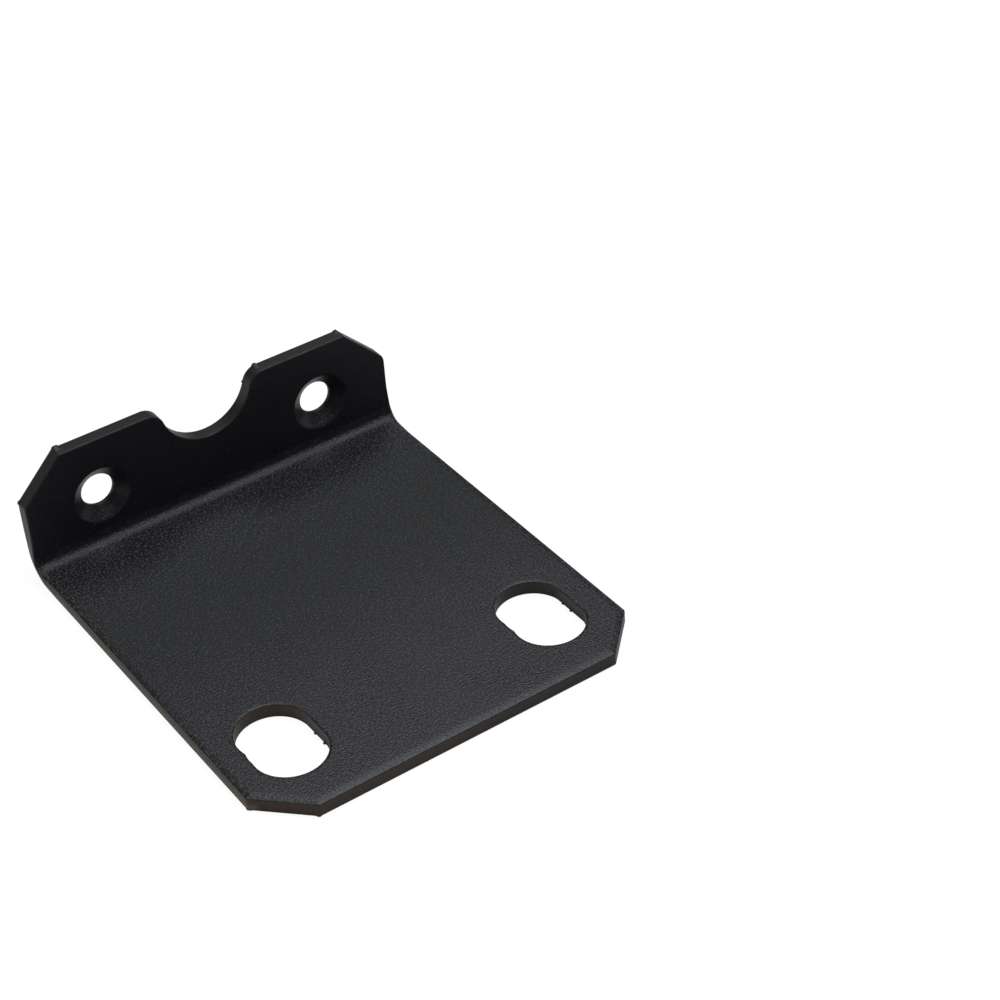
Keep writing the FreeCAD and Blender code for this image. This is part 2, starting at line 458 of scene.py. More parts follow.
@dataclass
class FlatBlank:
    """The punched sheet before it is folded.

    Across is along the fold, and along runs from the front edge over the fold to the
    top edge of the standing flange. Corners count anticlockwise from the front left.
    The steps set how close the points of its mesh lie: fine at the ends of a straight
    run, in the fold and in a margin of each face.
    """

    width: float = 44.0
    reach: float = 50.0
    rise: float = 14.15
    fold_radius: float = 1.5
    left_front_cut: float = 4.95
    right_front_cut: float = 4.77
    left_top_cut: float = 4.75
    right_top_cut: float = 4.7
    slots: tuple[NibbledSlot, ...] = (
        NibbledSlot(across=-15.31, along=9.72, radius=3.81, travel=3.1, middle_shift=-0.55),
        NibbledSlot(14.98, 9.6, 3.73, 3.1, 0.35, trim=0.08),
    )
    screws: tuple[Point, ...] = ((-13.34, 7.22), (13.49, 7.17))
    notch_radius: float = 5.42
    notch_depth: float = 5.3
    notch_across: float = 0.05
    shoulder_radius: float = 2.0
    corner_radius: float = 0.4
    worn_corner: int = 3
    worn_corner_radius: float = 1.6
    corners_before_notch: int = 5
    least_points: int = 6
    fine_step: float = 0.08
    fine_run: float = 1.0
    step_growth: float = 0.12
    coarse_step: float = 0.5
    fold_step: float = 0.13
    fold_margin: float = 0.6
    face_step: float = 1.5
    face_margin: float = 5.0
    end_step: float = 0.4
    middle_start: float = 1.0
    middle_step: float = 1.1
    rim_gap: float = 0.078
    smoothing: int = 5
    profile: EdgeProfile = EdgeProfile()
    slot_profile: EdgeProfile = EdgeProfile(
        droop_width=0.5, droop_depth=0.0, roll_width=0.34, roll_depth=0.1, shoulder=0.05
    )
    upper_profile: EdgeProfile = EdgeProfile(
        droop_width=0.35, droop_depth=0.0, roll_width=0.2, roll_depth=0.07, shoulder=0.05
    )
    sink: SinkProfile = SinkProfile()

    @property
    def gauge(self) -> float:
        """Return the thickness of the sheet."""
        return self.profile.gauge

    @property
    def fold_start(self) -> float:
        """Return where the flat flange ends, along the sheet."""
        return self.reach - self.fold_radius - self.gauge

    @property
    def fold_length(self) -> float:
        """Return the length of the fold at the middle of the sheet."""
        return (self.fold_radius + self.gauge / 2) * math.pi / 2

    @property
    def fold_end(self) -> float:
        """Return where the standing flange starts, along the sheet."""
        return self.fold_start + self.fold_length

    @property
    def top(self) -> float:
        """Return where the top edge lies, along the sheet."""
        return self.up(self.rise)

    def up(self, height: float) -> float:
        """Return where a height on the standing flange lies, along the sheet."""
        return self.fold_end + height - self.fold_radius - self.gauge

    def turns(self) -> list[Corner]:
        """Return the turns of the outline, anticlockwise from the front left."""
        half, top = self.width / 2, self.top
        polygon = [
            (self.left_front_cut - half, 0.0), (half - self.right_front_cut, 0.0),
            (half, self.right_front_cut), (half, top - self.right_top_cut),
            (half - self.right_top_cut, top), (self.left_top_cut - half, top),
            (-half, top - self.left_top_cut), (-half, self.left_front_cut),
        ]
        radii = [self.corner_radius] * len(polygon)
        radii[self.worn_corner] = self.worn_corner_radius
        found = []
        for place, corner in enumerate(polygon):
            before, after = polygon[place - 1], polygon[(place + 1) % len(polygon)]
            found.append(turn_at(before, corner, after, radii[place]))
        first = self.corners_before_notch
        return found[:first] + self.notch_turns() + found[first:]

    def notch_turns(self) -> list[Corner]:
        """Return the turns of the notch, from its right shoulder to its left one."""
        middle = self.top - self.notch_depth + self.notch_radius
        across = self.notch_across
        low = self.top - self.shoulder_radius
        drop = middle - low
        reach = math.sqrt((self.notch_radius + self.shoulder_radius) ** 2 - drop**2)
        angle = math.degrees(math.atan2(drop, reach))
        return [
            Corner((across + reach, low), self.shoulder_radius, 90.0, 180.0 - angle),
            Corner((across, middle), self.notch_radius, -angle, angle - 180.0),
            Corner((across - reach, low), self.shoulder_radius, angle, 90.0),
        ]

    def stations(self, start: np.ndarray, end: np.ndarray) -> np.ndarray:
        """Return shares of a straight run, closer at its ends and in the fold."""
        length = float(np.linalg.norm(end - start))
        steps = [0.0]
        while steps[-1] < length:
            here = steps[-1]
            margin = min(here, length - here)
            growth = self.step_growth * max(margin - self.fine_run, 0.0)
            step = min(self.coarse_step, self.fine_step + growth)
            along = start[1] + (end[1] - start[1]) * here / length
            low, high = self.fold_start - self.fold_margin, self.fold_end + self.fold_margin
            if low < along < high:
                step = min(step, self.fold_step)
            steps.append(here + step)
        return np.array(steps[1:-1]) / length

    def outline(self) -> Rim:
        """Return the rim of the whole sheet."""
        turns = self.turns()
        counts = [
            max(self.least_points, round(turn.length() / self.fine_step)) for turn in turns
        ]
        shares = []
        for place, turn in enumerate(turns):
            after = turns[(place + 1) % len(turns)]
            shares.append(self.stations(turn.points(0.0, 2)[-1], after.points(0.0, 2)[0]))

        def loop(inset: float) -> np.ndarray:
            """Return the outline at one inset."""
            arcs = [turn.points(inset, count) for turn, count in zip(turns, counts)]
            runs = []
            for place, arc in enumerate(arcs):
                start, end = arc[-1], arcs[(place + 1) % len(arcs)][0]
                runs.append(arc)
                runs.append(start + (end - start) * shares[place][:, None])
            return np.vstack(runs)

        return self.rim(loop, (self.profile, self.upper_profile), hole=False)

    def slot_outline(self, slot: NibbledSlot) -> Rim:
        """Return the rim of one slot."""
        first, middle, last = slot.hits()
        gaps = [(middle - first) / 2, (last - middle) / 2]
        round_end = round(math.pi * slot.radius / self.fine_step)
        side = round(slot.travel / self.fine_step)
        counts = (round_end, side, round_end, side // 2)

        def loop(inset: float) -> np.ndarray:
            """Return the slot's outline at one inset."""
            radius = slot.radius + inset
            near, far = (math.degrees(math.asin(gap / radius)) for gap in gaps)
            parts = [
                (first, first, 180.0 - near, 360.0),
                (first, last, 0.0, 0.0),
                (last, last, 0.0, 180.0 + far),
                (middle, middle, 180.0 - far, 180.0 + near),
            ]
            found = []
            for (low, high, start, end), count in zip(parts, counts):
                angles = np.radians(np.linspace(start, end, count, endpoint=False))
                along = np.linspace(low, high, count, endpoint=False)
                across, along = radius * np.cos(angles), along + radius * np.sin(angles)
                found.append(np.c_[across, along])
            ring = np.vstack(found)
            ring[:, 0] = slot.across + np.minimum(ring[:, 0], radius - slot.trim)
            for _ in range(self.smoothing):
                ring = (np.roll(ring, 1, 0) + 2.0 * ring + np.roll(ring, -1, 0)) / 4.0
            return ring

        return self.rim(loop, (self.slot_profile, self.slot_profile), hole=True)

    def rim(
        self,
        loop: Callable[[float], np.ndarray],
        profiles: Sequence[EdgeProfile],
        hole: bool,
    ) -> Rim:
        """Sweep the edge's section round a loop.

        Args:
            loop: Function that gives the loop's points at an inset.
            profiles: Sections before and after the fold, with as many rings each.
            hole: True if the sheet lies outside the loop.

        Returns:
            The rim.
        """
        layers = []
        for profile in profiles:
            rings = []
            for inset, height, _ in profile.rings():
                flat = loop(inset)
                rings.append(np.c_[flat, np.full(len(flat), height)])
            layers.append(np.array(rings))
        share = np.clip((loop(0.0)[:, 1] - self.fold_start) / self.fold_length, 0.0, 1.0)
        share = (share * share * (3.0 - 2.0 * share))[None, :, None]
        sheared = [ring[2] for ring in profiles[0].rings()]
        rings = layers[0] * (1.0 - share) + layers[1] * share
        return Rim(rings, np.repeat(sheared, rings.shape[1]), hole)

    def screw_hole(self, place: Point) -> Rim:
        """Return the rim of one countersunk hole.

        Args:
            place: Its middle across the sheet, and its height on the standing flange.
        """
        section = self.sink.rings(self.profile)
        angles = np.linspace(0.0, 2.0 * math.pi, self.sink.count, endpoint=False)
        circle = np.c_[np.cos(angles), np.sin(angles)]
        centre = np.array((place[0], self.up(place[1])))
        rings = []
        for radius, height, _ in section:
            rings.append(np.c_[centre + radius * circle, np.full(len(circle), height)])
        sheared = np.repeat([ring[2] for ring in section], len(circle))
        return Rim(np.array(rings), sheared, hole=True)


@dataclass
class SheetMesh:
    """Collects the rims and the two faces of the blank into one mesh.

    A rim takes a burr only if it comes near enough to raise the least share of it.
    """

    blank: FlatBlank
    burrs: Sequence[Burr]
    least_share: float = 0.3
    points: list[np.ndarray] = field(default_factory=list)
    sheared: list[np.ndarray] = field(default_factory=list)
    faces: list[tuple[int, ...]] = field(default_factory=list)
    count: int = 0
    loops: list[tuple[list[int], list[int], bool]] = field(default_factory=list)

    def raise_burrs(self, rim: Rim) -> None:
        """Push the exit side of a rim outwards where the punch left a burr."""
        wall = rim.rings[WALL_RING, :, :2]
        tangent = np.roll(wall, -1, 0) - np.roll(wall, 1, 0)
        tangent /= np.linalg.norm(tangent, axis=1)[:, None]
        outward = np.c_[tangent[:, 1], -tangent[:, 0]] * (-1.0 if rim.hole else 1.0)
        for burr in self.burrs:
            away = np.linalg.norm(wall - np.array(burr.place), axis=1)
            bump = np.exp(-((away / burr.width) ** 4)) * burr.height
            if abs(bump).max() < self.least_share * abs(burr.height):
                continue
            for ring in rim.rings:
                fade = np.exp(-((np.maximum(ring[:, 2], 0.0) / burr.reach) ** 2))
                ring[:, :2] += outward * (bump * fade)[:, None]

    def add_rim(self, rim: Rim) -> None:
        """Add the points and quads of a rim."""
        self.raise_burrs(rim)
        levels, size = rim.rings.shape[:2]
        start = self.count
        for level in range(levels - 1):
            for here in range(size):
                after = (here + 1) % size
                upper, lower = start + level * size, start + (level + 1) * size
                quad = (lower + here, lower + after, upper + after, upper + here)
                self.faces.append(quad[::-1] if rim.hole else quad)
        self.points.append(rim.rings.reshape(-1, 3))
        self.sheared.append(rim.sheared)
        self.count += levels * size
        top = list(range(start, start + size))
        bottom = list(range(start + (levels - 1) * size, start + levels * size))
        self.loops.append((top, bottom, rim.hole))

    def grid(self) -> np.ndarray:
        """Return the points inside the faces, closer together in and near the fold."""
        blank = self.blank
        near, half = blank.face_margin, blank.width / 2
        start, end = blank.fold_start, blank.fold_end
        wide, close = blank.face_step, blank.end_step
        rows = [
            np.arange(wide, start - near, wide),
            np.arange(start - near, start, close),
            np.arange(start, end, blank.fold_step),
            np.arange(end, end + near, close),
            np.arange(end + near, blank.top, wide),
        ]
        side = np.arange(half - near, half, close)
        middle = np.arange(near - half + blank.middle_start, half - near, blank.middle_step)
        columns = np.concatenate((-side[::-1], middle, side))
        across, along = np.meshgrid(columns, np.concatenate(rows))
        return np.c_[across.ravel(), along.ravel()]

    def inner_points(self, rings: list[np.ndarray], holes: list[bool]) -> np.ndarray:
        """Return the points of a face that lie clear of its rims.

        Args:
            rings: Points of each rim.
            holes: True for each rim of a hole.
        """
        inner = self.grid()
        keep = np.ones(len(inner), bool)
        for ring, hole in zip(rings, holes):
            inside = within(inner, ring)
            keep &= ~inside if hole else inside
        for point in np.vstack(rings):
            keep &= np.abs(inner - point).max(axis=1) > self.blank.rim_gap
        return inner[keep]

    def add_face(self, face: Face) -> None:
        """Fill one face of the sheet between its rims."""
        upper = face is Face.ENTRY
        loops = [top if upper else bottom for top, bottom, _ in self.loops]
        holes = [hole for _, _, hole in self.loops]
        stock = np.vstack(self.points)
        rings = [stock[loop, :2] for loop in loops]
        edges, start = [], 0
        for ring in rings:
            size = len(ring)
            edges += [(start + here, start + (here + 1) % size) for here in range(size)]
            start += size
        flat = np.vstack((*rings, self.inner_points(rings, holes)))
        corners = [Vector(point) for point in flat]
        made = geometry.delaunay_2d_cdt(corners, edges, [], INSIDE, MERGE)
        places, triangles, origins = made[0], made[2], made[3]
        rim_ids = [index for loop in loops for index in loop]
        height = self.blank.gauge if upper else 0.0
        ids = []
        for place, origin in zip(places, origins):
            if origin and origin[0] < len(rim_ids):
                ids.append(rim_ids[origin[0]])
            else:
                ids.append(self.count)
                self.points.append(np.array([[place.x, place.y, height]]))
                self.sheared.append(np.zeros(1))
                self.count += 1
        middles = np.array([
            np.mean([places[corner][:] for corner in triangle], axis=0)
            for triangle in triangles
        ])
        solid = np.ones(len(middles), bool)
        for ring, hole in zip(rings, holes):
            if hole:
                solid &= ~within(middles, ring)
        for triangle, wanted in zip(triangles, solid):
            if wanted:
                corner_ids = tuple(ids[corner] for corner in triangle)
                self.faces.append(corner_ids if upper else corner_ids[::-1])

    def mesh(self, name: str) -> bpy.types.Mesh:
        """Return the blank as a mesh in metres, with how far it is sheared."""
        mesh = bpy.data.meshes.new(name)
        mesh.from_pydata((np.vstack(self.points) * MM).tolist(), [], self.faces)
        layer = mesh.attributes.new(SHEARED, "FLOAT", "POINT")
        values = np.concatenate(self.sheared)
        layer.data.foreach_set("value", values.astype(np.float32))
        mesh.validate()
        mesh.shade_smooth()
        return mesh


def within(points: np.ndarray, ring: np.ndarray) -> np.ndarray:
    """Tell which points lie inside a closed ring.

    Args:
        points: Points of the plane.
        ring: Corners of the ring, in order.

    Returns:
        One truth value for each point.
    """
    inside = np.zeros(len(points), bool)
    x, y = points[:, 0], points[:, 1]
    for (ax, ay), (bx, by) in zip(ring, np.roll(ring, -1, 0)):
        if ay == by:
            continue
        crosses = (ay > y) != (by > y)
        inside ^= crosses & (x < (bx - ax) * (y - ay) / (by - ay) + ax)
    return inside


@dataclass(frozen=True)
class FoldRule:
    """The node tree that folds a flat sheet along one line.

    Besides the fold itself it draws in the outside of the sheet at both ends of the
    fold, where the metal stretches, and pushes out the inside, where it is squeezed.
    """

    end_reach: float = 4.5
    fold_margin: float = 3.0
    end_pull: float = 0.06
    end_bulge: float = 0.28

    def sizes(self, blank: FlatBlank) -> dict[str, float]:
        """Return the sizes that the tree takes, by the names of its inputs."""
        return {
            "Gauge": blank.gauge,
            "Inner Radius": blank.fold_radius,
            "Front Edge": -blank.reach / 2,
            "Fold Start": blank.fold_start,
            "Fold Length": blank.fold_length,
            "Half Width": blank.width / 2,
            "End Reach": self.end_reach,
            "Fold Margin": self.fold_margin,
            "End Pull": self.end_pull,
            "End Bulge": self.end_bulge,
        }

    def tree(self, names: Sequence[str]) -> bpy.types.NodeTree:
        """Return the tree, with a named input for each size, in metres."""
        tree = bpy.data.node_groups.new("fold_sheet", "GeometryNodeTree")
        face = tree.interface
        face.new_socket(name="Geometry", in_out="INPUT", socket_type="NodeSocketGeometry")
        for name in names:
            face.new_socket(name=name, in_out="INPUT", socket_type="NodeSocketFloat")
        face.new_socket(name="Coat", in_out="INPUT", socket_type="NodeSocketMaterial")
        face.new_socket(name="Geometry", in_out="OUTPUT", socket_type="NodeSocketGeometry")
        pen = Pen(tree)
        entry = pen.add("NodeGroupInput").socket.node

        def given(name: str) -> Wire:
            """Return one of the tree's inputs."""
            return Wire(tree, entry.outputs[name])

        parts = pen.add(
            "ShaderNodeSeparateXYZ", sockets={0: pen.add("GeometryNodeInputPosition")}
        ).socket.node
        across, along, height = (Wire(tree, output) for output in parts.outputs)
        gauge, start, length = given("Gauge"), given("Fold Start"), given("Fold Length")
        outer = given("Inner Radius") + gauge
        angle = ((along - start) / length).share() * (math.pi / 2)
        radius = outer - height
        depth = given("Front Edge") + along.at_most(start) + radius * angle.sine()
        past = (along - start - length).at_least(0.0)
        rise = outer - radius * angle.cosine() + past
        from_end = given("Half Width") - abs(across)
        near_end = (1.0 - from_end / given("End Reach")).share()
        off_middle = abs(along - start - 0.5 * length)
        off_middle = off_middle / (0.5 * length + given("Fold Margin"))
        pressed = near_end * near_end * (1.0 - off_middle).eased()
        level = height / gauge
        spread = level * given("End Bulge") - (1.0 - level) * given("End Pull")
        place = pen.add(
            "ShaderNodeCombineXYZ",
            sockets={0: across + across.sign() * pressed * spread, 1: depth, 2: rise},
        )
        folded = pen.add(
            "GeometryNodeSetPosition",
            sockets={"Geometry": given("Geometry"), "Position": place},
        )
        real = pen.add("GeometryNodeRealizeInstances", sockets={"Geometry": folded})
        dressed = pen.add(
            "GeometryNodeSetMaterial",
            sockets={"Geometry": real, "Material": given("Coat")},
        )
        pen.add("NodeGroupOutput", sockets={"Geometry": dressed})
        return tree

    def fold(
        self, flat: bpy.types.Object, blank: FlatBlank, coat: bpy.types.Material
    ) -> None:
        """Fold a flat sheet and keep the result as its plain mesh.

        Args:
            flat: Object with the flat mesh.
            blank: Sizes of the sheet.
            coat: Material of the whole sheet.
        """
        modifier = flat.modifiers.new("fold", "NODES")
        values = {name: size * MM for name, size in self.sizes(blank).items()}
        tree = self.tree(list(values))
        modifier.node_group = tree
        values["Coat"] = coat
        for item in tree.interface.items_tree:
            if item.in_out == "INPUT" and item.name in values:
                modifier[item.identifier] = values[item.name]
        graph = bpy.context.evaluated_depsgraph_get()
        folded = bpy.data.meshes.new_from_object(
            flat.evaluated_get(graph), preserve_all_data_layers=True, depsgraph=graph
        )
        flat.modifiers.clear()
        flat.data = folded


class Spot:
    """What the coat reads at a point of the sheet. Places are in millimetres."""

    def __init__(self, pen: Pen, coat: PowderCoat) -> None:
        """Add the nodes that read it.

        Args:
            pen: Writer of the material's tree.
            coat: The coat, which sets its patterns and spans.
        """
        self.pen = pen
        place = pen.add("ShaderNodeTexCoord", out="Object")
        parts = pen.add("ShaderNodeSeparateXYZ", sockets={0: place}).socket.node
        self.across, self.along, self.height = (
            Wire(pen.tree, output) / MM for output in parts.outputs
        )
        self.sheared = pen.add(
            "ShaderNodeAttribute", {"attribute_name": SHEARED}, out="Fac"
        )
        self.fine = pen.noise(place, *coat.grain_noise)
        self.grain = self.fine.ramp(*coat.grain_span) - 0.5
        self.patches = pen.noise(place, *coat.patch_noise) - 0.5
        self.standing = self.height.ramp(*coat.standing_up)
        # The grain's contrast grows towards the fold; in the colour this is partly painted
        # light, as grazing light brings it out there.
        more = (1.0 - coat.grain_front) * self.along.ramp(*coat.grain_along)
        strength = (coat.grain_front + more) * (1.0 - self.sheared)
        self.strength = strength * (1.0 - (1.0 - coat.grain_standing) * self.standing)


@dataclass(frozen=True)
class PowderCoat:
    """Matt black powder coat over sheet steel.

    Its grain shows more towards the fold, partly as painted light, as grazing light
    brings it out there, and it bears painted highlight specks. Towards the fold, and in a
    band at the fold's upper end, the faces have painted shade. The coat is thin on the
    sheared edges. Those of the flat flange are browner, partly their own tone and partly
    a painted warm reflection of the floor, the more so on the left, where the wall's
    foot has painted light, and those of the standing flange are grey.
    Each span is where along, across or up the bracket a change starts and where it
    ends, or between which values of the fine pattern. A noise is its scale, its detail
    and its roughness.
    """

    dark: Colour = (0.0016, 0.0013, 0.0021)
    light: Colour = (0.0210, 0.0188, 0.0250)
    # Edge colours low down: partly the edges' own tone, partly a painted warm reflection of
    # the floor.
    brown_with_warm_reflection: Colour = (0.0362, 0.0216, 0.0144)
    dull_with_warm_reflection: Colour = (0.0195, 0.0140, 0.0115)
    grey: Colour = (0.0080, 0.0083, 0.0087)
    # Colour of painted highlight specks.
    painted_glint: Colour = (0.0540, 0.0580, 0.0650)
    # Painted light at the foot of the left wall.
    pale_foot_light: Colour = (0.1150, 0.0900, 0.0620)
    shade: float = 0.4
    shade_standing: float = 0.2
    # Painted shade towards the fold and in a band at its upper end.
    painted_fold_shade: float = 0.5
    painted_crease_shade: float = 0.3
    shade_patches: float = 0.5
    standing_up: Span = (1.95, 2.15)
    # Heights over which the painted shade at the fold's upper end fades out.
    painted_crease_shade_up: Span = (2.3, 3.2)
    # Where the painted shade towards the fold starts and ends, along the bracket.
    painted_fold_shade_from: Span = (-14.0, 6.0)
    painted_fold_shade_to: Span = (17.0, 23.0)
    # Where the edge turns from the browner to the duller colour, both with painted warm
    # reflection.
    dull_across: Span = (-8.0, 8.0)
    # Where the painted light at the left wall's foot lies.
    pale_foot_light_across: Span = (-21.0, -21.7)
    pale_foot_light_up: Span = (0.4, 1.0)
    grey_up: Span = (2.0, 5.0)
    # Where the grain's partly painted contrast grows, along the bracket.
    grain_along: Span = (8.0, 24.0)
    grain_front: float = 0.5
    grain_standing: float = 0.2
    grain_span: Span = (0.4, 0.6)
    # Values of the fine pattern that get painted highlight specks.
    painted_glint_span: Span = (0.52, 0.72)
    smooth: float = 0.37
    coarse: float = 0.5
    coarse_along: Span = (-24.0, 10.0)
    upper: float = 0.34
    edge_roughness: float = 0.45
    patch_roughness: float = 0.10
    grain_roughness: float = 0.12
    specular: float = 0.28
    grain_noise: tuple[float, float, float] = (4400.0, 1.0, 0.6)
    patch_noise: tuple[float, float, float] = (160.0, 3.0, 0.55)
    bump_depth: float = 0.058
    bump_sheared: float = 0.3

    def face_colour(self, spot: Spot) -> Wire:
        """Return the colour of the coated faces."""
        # Painted shade: the faces darken towards the fold, where the standing flange shades
        # the flat one.
        painted_fold_shade_mask = spot.along.ramp(*self.painted_fold_shade_from) * (1.0 - spot.along.ramp(*self.painted_fold_shade_to))
        # Painted shade in a band at the upper end of the fold.
        painted_crease_mask = spot.standing * (1.0 - spot.height.ramp(*self.painted_crease_shade_up))
        shade = self.shade + self.shade_standing * spot.standing
        shade = shade - self.painted_fold_shade * painted_fold_shade_mask - self.painted_crease_shade * painted_crease_mask
        shade = shade + spot.grain * spot.strength + self.shade_patches * spot.patches
        face = spot.pen.blend(shade.share(), self.dark, self.light)
        # Painted highlights: bright specks blended into the colour, stronger towards the
        # fold.
        painted_glint_amount = spot.fine.ramp(*self.painted_glint_span) * spot.strength
        return spot.pen.blend(painted_glint_amount, face, self.painted_glint)

    def edge_colour(self, spot: Spot) -> Wire:
        """Return the colour of the sheared edges."""
        pen, up = spot.pen, spot.height
        # The edges' own tone with a painted warm reflection of the floor, browner on the
        # left.
        low = pen.blend(spot.across.ramp(*self.dull_across), self.brown_with_warm_reflection, self.dull_with_warm_reflection)
        # Painted light at the foot of the left wall.
        foot = spot.across.ramp(*self.pale_foot_light_across) * (1.0 - up.ramp(*self.pale_foot_light_up))
        low = pen.blend(foot, low, self.pale_foot_light)
        return pen.blend(up.ramp(*self.grey_up), low, self.grey)

    def roughness(self, spot: Spot) -> Wire:
        """Return the roughness of the faces and the edges."""
        more = (self.coarse - self.smooth) * spot.along.ramp(*self.coarse_along)
        level = self.smooth + more
        level = level + spot.standing * (self.upper - level)
        level = level + spot.sheared * (self.edge_roughness - level)
        level = level + self.patch_roughness * spot.patches
        return level + self.grain_roughness * spot.grain * spot.strength

    def material(self) -> bpy.types.Material:
        """Return the finish as a material."""
        material, pen = new_material(SLOT)
        spot = Spot(pen, self)
        face, edge = self.face_colour(spot), self.edge_colour(spot)
        relief = 1.0 - (1.0 - self.bump_sheared) * spot.sheared
        bump = pen.add(
            "ShaderNodeBump",
            sockets={
                "Height": spot.fine * relief,
                "Distance": self.bump_depth * MM,
                "Strength": 1.0,
            },
        )
        shader = pen.add(
            "ShaderNodeBsdfPrincipled",
            sockets={
                "Base Color": pen.blend(spot.sheared, face, edge),
                "Roughness": self.roughness(spot),
                "Specular IOR Level": self.specular,
                "Normal": bump,
            },
        )
        pen.add("ShaderNodeOutputMaterial", sockets={"Surface": shader})
        return material


@dataclass
class FoldedSheet:
    """The bracket itself: the blank, its burrs, its fold and its coat."""

    blank: FlatBlank = field(default_factory=FlatBlank)
    rule: FoldRule = field(default_factory=FoldRule)
    coat: PowderCoat = field(default_factory=PowderCoat)

    def burrs(self) -> list[Burr]:
        """Return the slivers that the punch left, and a nick in the notch's wall."""
        top, half = self.blank.top, self.blank.width / 2
        return [
            Burr((-16.9, top), 0.2, 0.36),
            Burr((-half, top - self.blank.left_top_cut), 0.1, 0.25),
            Burr((17.08, top), 0.14, 0.24),
            Burr((6.85, top), 0.22, 0.26),
            Burr((5.2, top - 1.5), 0.12, 0.16, 0.4),
            Burr((5.22, top - 1.66), -0.08, 0.11, 5.0),
            Burr((-21.8, self.blank.left_front_cut), 0.08, 0.3),
            Burr((-17.2, 0.0), 0.12, 0.28),
            Burr((-11.5, 9.97), 0.16, 0.13, 0.35),
            Burr((-11.5, 8.22), 0.2, 0.15, 0.35),
            Burr((18.62, 10.85), 0.12, 0.13, 0.35),
            Burr((18.62, 9.44), 0.18, 0.14, 0.35),
        ]

    def build(self) -> bpy.types.Object:
        """Return the folded and dressed sheet."""
        sheet = SheetMesh(self.blank, self.burrs())
        sheet.add_rim(self.blank.outline())
        for slot in self.blank.slots:
            sheet.add_rim(self.blank.slot_outline(slot))
        for place in self.blank.screws:
            sheet.add_rim(self.blank.screw_hole(place))
        for face in Face:
            sheet.add_face(face)
        piece = put_in_scene("folded_sheet", sheet.mesh("folded_sheet"))
        self.rule.fold(piece, self.blank, self.coat.material())
        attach(piece, BODY)
        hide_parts(NODE)
        triangles = sum(len(polygon.vertices) - 2 for polygon in piece.data.polygons)
        log.info("%s: %d triangles", piece.name, triangles)
        return piece


def level_corners(near: Point, far: Point, height: float) -> list[Place]:
    """Return the corners of a level rectangle between two of them, anticlockwise."""
    (left, front), (right, back) = near, far
    corners = [(left, front), (right, front), (right, back), (left, back)]
    return [(*corner, height) for corner in corners]


def plain_object(
    name: str,
    points: Sequence[Place],
    faces: Sequence[Sequence[int]],
    material: bpy.types.Material,
) -> bpy.types.Object:
    """Make an object of flat faces and put it in the scene.

    Args:
        name: Name of the object and of its mesh.
        points: Its corners, in millimetres.
        faces: Places in that list, for each face.
        material: Material of the whole object.

    Returns:
        The object.
    """
    mesh = bpy.data.meshes.new(name)
    mesh.from_pydata((np.array(points) * MM).tolist(), [], faces)
    mesh.materials.append(material)
    return put_in_scene(name, mesh)


@dataclass(frozen=True)
class SoftLamp:
    """A square area lamp that is aimed at the bracket."""

    name: str
    place: Place
    side: float
    radiance: float
    colour: Colour = (0.93, 0.99, 1.0)

    def build(self) -> bpy.types.Object:
        """Return the lamp in the scene."""
        side = self.side * MM
        data = bpy.data.lights.new(self.name, "AREA")
        data.shape = "SQUARE"
        data.size = side
        data.energy = self.radiance * math.pi * side**2
        data.color = self.colour
        lamp = put_in_scene(self.name, data)
        lamp.location = Vector(self.place) * MM
        lamp.rotation_mode = "QUATERNION"
        lamp.rotation_quaternion = (-Vector(self.place)).to_track_quat("-Z", "Y")
        lamp.visible_camera = False
        return lamp


@dataclass(frozen=True)
class Drape:
    """Dark cloth that hangs round the table in panels, which no camera sees.

    Each panel spans two elevations as seen from the bracket. The white sky shows over
    them, and under those that are raised. A card of the same cloth lies on the floor.
    """

    radius: float = 1400.0
    panels: Sequence[Point] = (
        (0.0, 45.0), (8.0, 39.0), (0.0, 47.0), (0.0, 45.0), (16.0, 45.0), (22.0, 45.0),
        (6.0, 45.0), (0.0, 45.0), (0.0, 45.0), (0.0, 50.0), (0.0, 50.0), (18.0, 45.0),
    )
    colour: Colour = (0.04, 0.04, 0.04)
    card: tuple[Point, Point] = ((22.8, -2.0), (44.0, 24.0))
    card_height: float = 0.1

    def cloth(self) -> bpy.types.Material:
        """Return the matt material of the cloth."""
        material, pen = new_material("cloth")
        matt = pen.add("ShaderNodeBsdfDiffuse", sockets={"Color": self.colour})
        pen.add("ShaderNodeOutputMaterial", sockets={"Surface": matt})
        return material

    def build(self) -> bpy.types.Object:
        """Return the drape, made of flat panels."""
        points, faces = [], []
        turn = 2.0 * math.pi / len(self.panels)
        for place, (low, high) in enumerate(self.panels):
            start = len(points)
            for azimuth in (place * turn, (place + 1) * turn):
                x, y = self.radius * math.cos(azimuth), self.radius * math.sin(azimuth)
                for elevation in (low, high):
                    points.append((x, y, self.radius * math.tan(math.radians(elevation))))
            faces.append((start, start + 1, start + 3, start + 2))
        drape = plain_object("drape", points, faces, self.cloth())
        drape.visible_camera = False
        return drape

    def build_card(self) -> bpy.types.Object:
        """Return a dark card on the floor, right of the bracket, for reflections only."""
        corners = level_corners(*self.card, self.card_height)
        card = plain_object("card", corners, [(0, 1, 2, 3)], self.cloth())
        card.visible_camera = card.visible_diffuse = card.visible_shadow = False
        return card


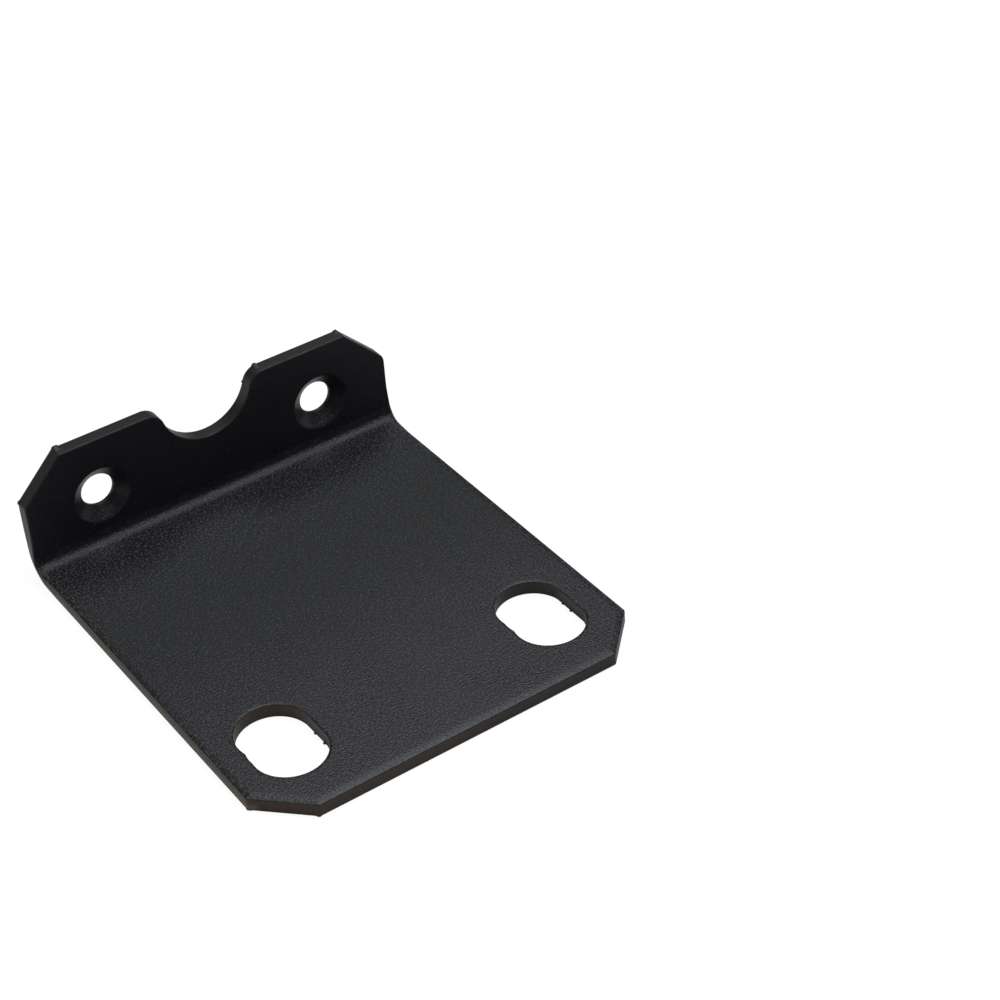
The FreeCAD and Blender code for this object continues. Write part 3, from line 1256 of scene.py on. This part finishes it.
@dataclass
class Studio:
    """A white floor and sky, a dark drape round them and soft lamps overhead.

    The camera sees the floor nearly as bright as its own glow, and reflections see a
    small share of that.
    """

    floor_size: float = 8000.0
    floor_drop: float = 0.02
    floor_colour: Colour = (0.62, 0.62, 0.62)
    floor_strength: float = 1.08
    camera_share: float = 0.85
    glossy_share: float = 0.05
    drape: Drape = field(default_factory=Drape)
    lamps: Sequence[SoftLamp] = (
        SoftLamp("overhead", place=(430.0, -180.0, 1100.0), side=420.0, radiance=9.8),
        SoftLamp("top", place=(0.0, 40.0, 1200.0), side=420.0, radiance=4.0),
        SoftLamp("beyond", place=(327.0, 503.0, 1039.0), side=360.0, radiance=6.5),
    )

    def build(self) -> None:
        """Make the floor, the sky, the drape and the lamps."""
        self.build_floor()
        self.build_sky()
        self.drape.build()
        self.drape.build_card()
        for lamp in self.lamps:
            lamp.build()
        log.info("studio: floor, sky, drape and %d lamps", len(self.lamps))

    def build_floor(self) -> None:
        """Make the floor, which shows white and keeps the bracket's shadow."""
        half = self.floor_size / 2
        corners = level_corners((-half, -half), (half, half), -self.floor_drop)
        floor = plain_object("floor", corners, [(0, 1, 2, 3)], self.floor_material())

    def floor_material(self) -> bpy.types.Material:
        """Return the floor's material, which is matt and glows for the camera."""
        material, pen = new_material("floor")
        matt = pen.add("ShaderNodeBsdfDiffuse", sockets={"Color": self.floor_colour})
        white = pen.add("ShaderNodeEmission", sockets={"Strength": self.floor_strength})
        path = pen.add("ShaderNodeLightPath").socket.node
        rays = [
            Wire(pen.tree, path.outputs[name])
            for name in ("Is Camera Ray", "Is Glossy Ray", "Is Transmission Ray")
        ]
        seen = self.camera_share * rays[0] + self.glossy_share * (rays[1] + rays[2])
        mixed = pen.add("ShaderNodeMixShader", sockets={0: seen, 1: matt, 2: white})
        pen.add("ShaderNodeOutputMaterial", sockets={"Surface": mixed})
        return material

    def build_sky(self) -> None:
        """Make the even white sky."""
        world = bpy.data.worlds.new("sky")
        bpy.context.scene.world = world
        world.use_nodes = True
        pen = Pen(world.node_tree)
        white = pen.add("ShaderNodeBackground", sockets={"Color": WHITE, "Strength": 1.0})
        pen.add("ShaderNodeOutputWorld", sockets={"Surface": white})


@dataclass(frozen=True)
class PhotoCamera:
    """The photograph's camera. Its turns are in degrees, and it has no shift."""

    place: Place = (-89.226, -172.814, 158.469)
    azimuth: float = 32.5233
    elevation: float = 37.029
    roll: float = -3.9875
    lens: float = 87.836
    sensor: float = 36.0
    clip: Span = (10.0, 20000.0)

    def build(self) -> bpy.types.Object:
        """Return the camera, set as the scene's own."""
        azimuth, elevation, roll = (
            math.radians(value) for value in (self.azimuth, self.elevation, self.roll)
        )
        forward = Vector((
            math.sin(azimuth) * math.cos(elevation),
            math.cos(azimuth) * math.cos(elevation),
            -math.sin(elevation),
        ))
        level = forward.cross(Vector((0.0, 0.0, 1.0))).normalized()
        upright = level.cross(forward)
        right = level * math.cos(roll) + upright * math.sin(roll)
        up = right.cross(forward)
        turn = Matrix((right, up, -forward)).transposed().to_4x4()
        data = bpy.data.cameras.new("photo_camera")
        data.lens = self.lens
        data.sensor_width = self.sensor
        data.clip_start, data.clip_end = (distance * MM for distance in self.clip)
        camera = put_in_scene("photo_camera", data)
        camera.matrix_world = Matrix.Translation(Vector(self.place) * MM) @ turn
        bpy.context.scene.camera = camera
        return camera


def main() -> None:
    """Build the bracket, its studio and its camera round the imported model."""
    logging.basicConfig(level=logging.INFO, format="%(message)s")
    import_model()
    FoldedSheet().build()
    Studio().build()
    PhotoCamera().build()
    bpy.context.scene.view_settings.view_transform = "Standard"


if __name__ == "__main__":
    main()
